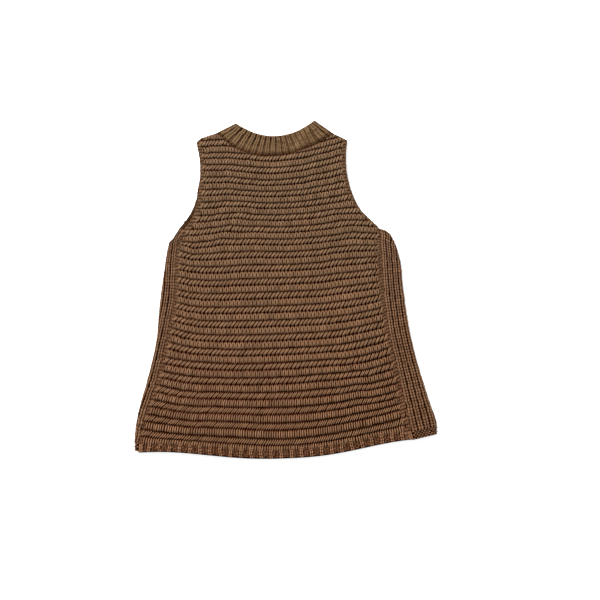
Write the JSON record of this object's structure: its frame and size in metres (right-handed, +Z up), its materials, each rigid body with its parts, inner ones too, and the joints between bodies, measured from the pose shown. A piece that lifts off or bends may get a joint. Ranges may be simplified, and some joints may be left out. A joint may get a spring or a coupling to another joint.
{
  "type": "knitted sweater vest, laid flat back up",
  "caption": "Sleeveless knitted vest laid flat with its back up: cross-ridged body, ribbed side panels, ribbed neck band and welted hem.",
  "frame": {"origin": "middle of the laid-out vest's outline, on the surface it lies on", "axes": "+X across the back, towards the right in the view from above, +Y from the hem to the neck, +Z up from the surface"},
  "size_m": [0.5302, 0.588, 0.0106],
  "materials": {
    "body_knit": "chunky brown cross-ridge knit",
    "side_rib_knit": "chunky brown lengthwise rib knit",
    "neck_rib_knit": "brown one-by-one rib knit"
  },
  "bodies": {
    "root": {"back_panel": "body_knit", "front_panel": "body_knit", "side_panel_left": "side_rib_knit", "side_panel_right": "side_rib_knit", "neck_band_back": "neck_rib_knit", "neck_band_front": "neck_rib_knit"}
  },
  "joints": []
}
